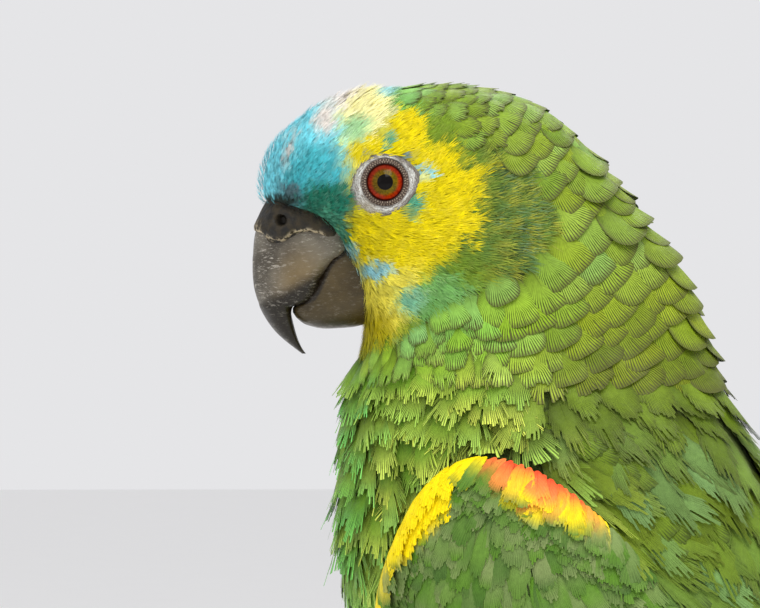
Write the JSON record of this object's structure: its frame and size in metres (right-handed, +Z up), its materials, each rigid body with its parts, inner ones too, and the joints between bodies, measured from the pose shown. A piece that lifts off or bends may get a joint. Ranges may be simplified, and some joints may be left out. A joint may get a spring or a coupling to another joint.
{
  "type": "turquoise-fronted amazon parrot",
  "caption": "Life-size still model of a green parrot with a turquoise and yellow face, hooked grey bill, folded wings and a squared tail, standing with its head turned.",
  "frame": {"origin": "middle of the bounding box, at floor level", "axes": "+X from the breast back towards the tail, +Y to the bird's right, +Z up; the bird's body faces -X"},
  "size_m": [0.2845, 0.0942, 0.2458],
  "materials": {
    "feather_head": "satin",
    "feather_body": "satin",
    "feather_wing": "satin",
    "feather_tail": "satin",
    "horn": "satin",
    "cere": "matte",
    "eye": "gloss",
    "scale": "matte",
    "claw": "satin"
  },
  "bodies": {
    "root": {"head": "feather_head", "neck": "feather_body", "trunk": "feather_body", "tail": "feather_tail", "wing_left": "feather_wing", "wing_right": "feather_wing", "thigh_left": "feather_body", "thigh_right": "feather_body", "foot_left": "scale", "foot_right": "scale", "claw_left_1": "claw", "claw_left_2": "claw", "claw_left_3": "claw", "claw_left_4": "claw", "claw_right_1": "claw", "claw_right_2": "claw", "claw_right_3": "claw", "claw_right_4": "claw", "eye_left": "eye", "eye_right": "eye", "cere": "cere", "bill_upper": "horn", "bill_lower": "horn"}
  },
  "joints": []
}
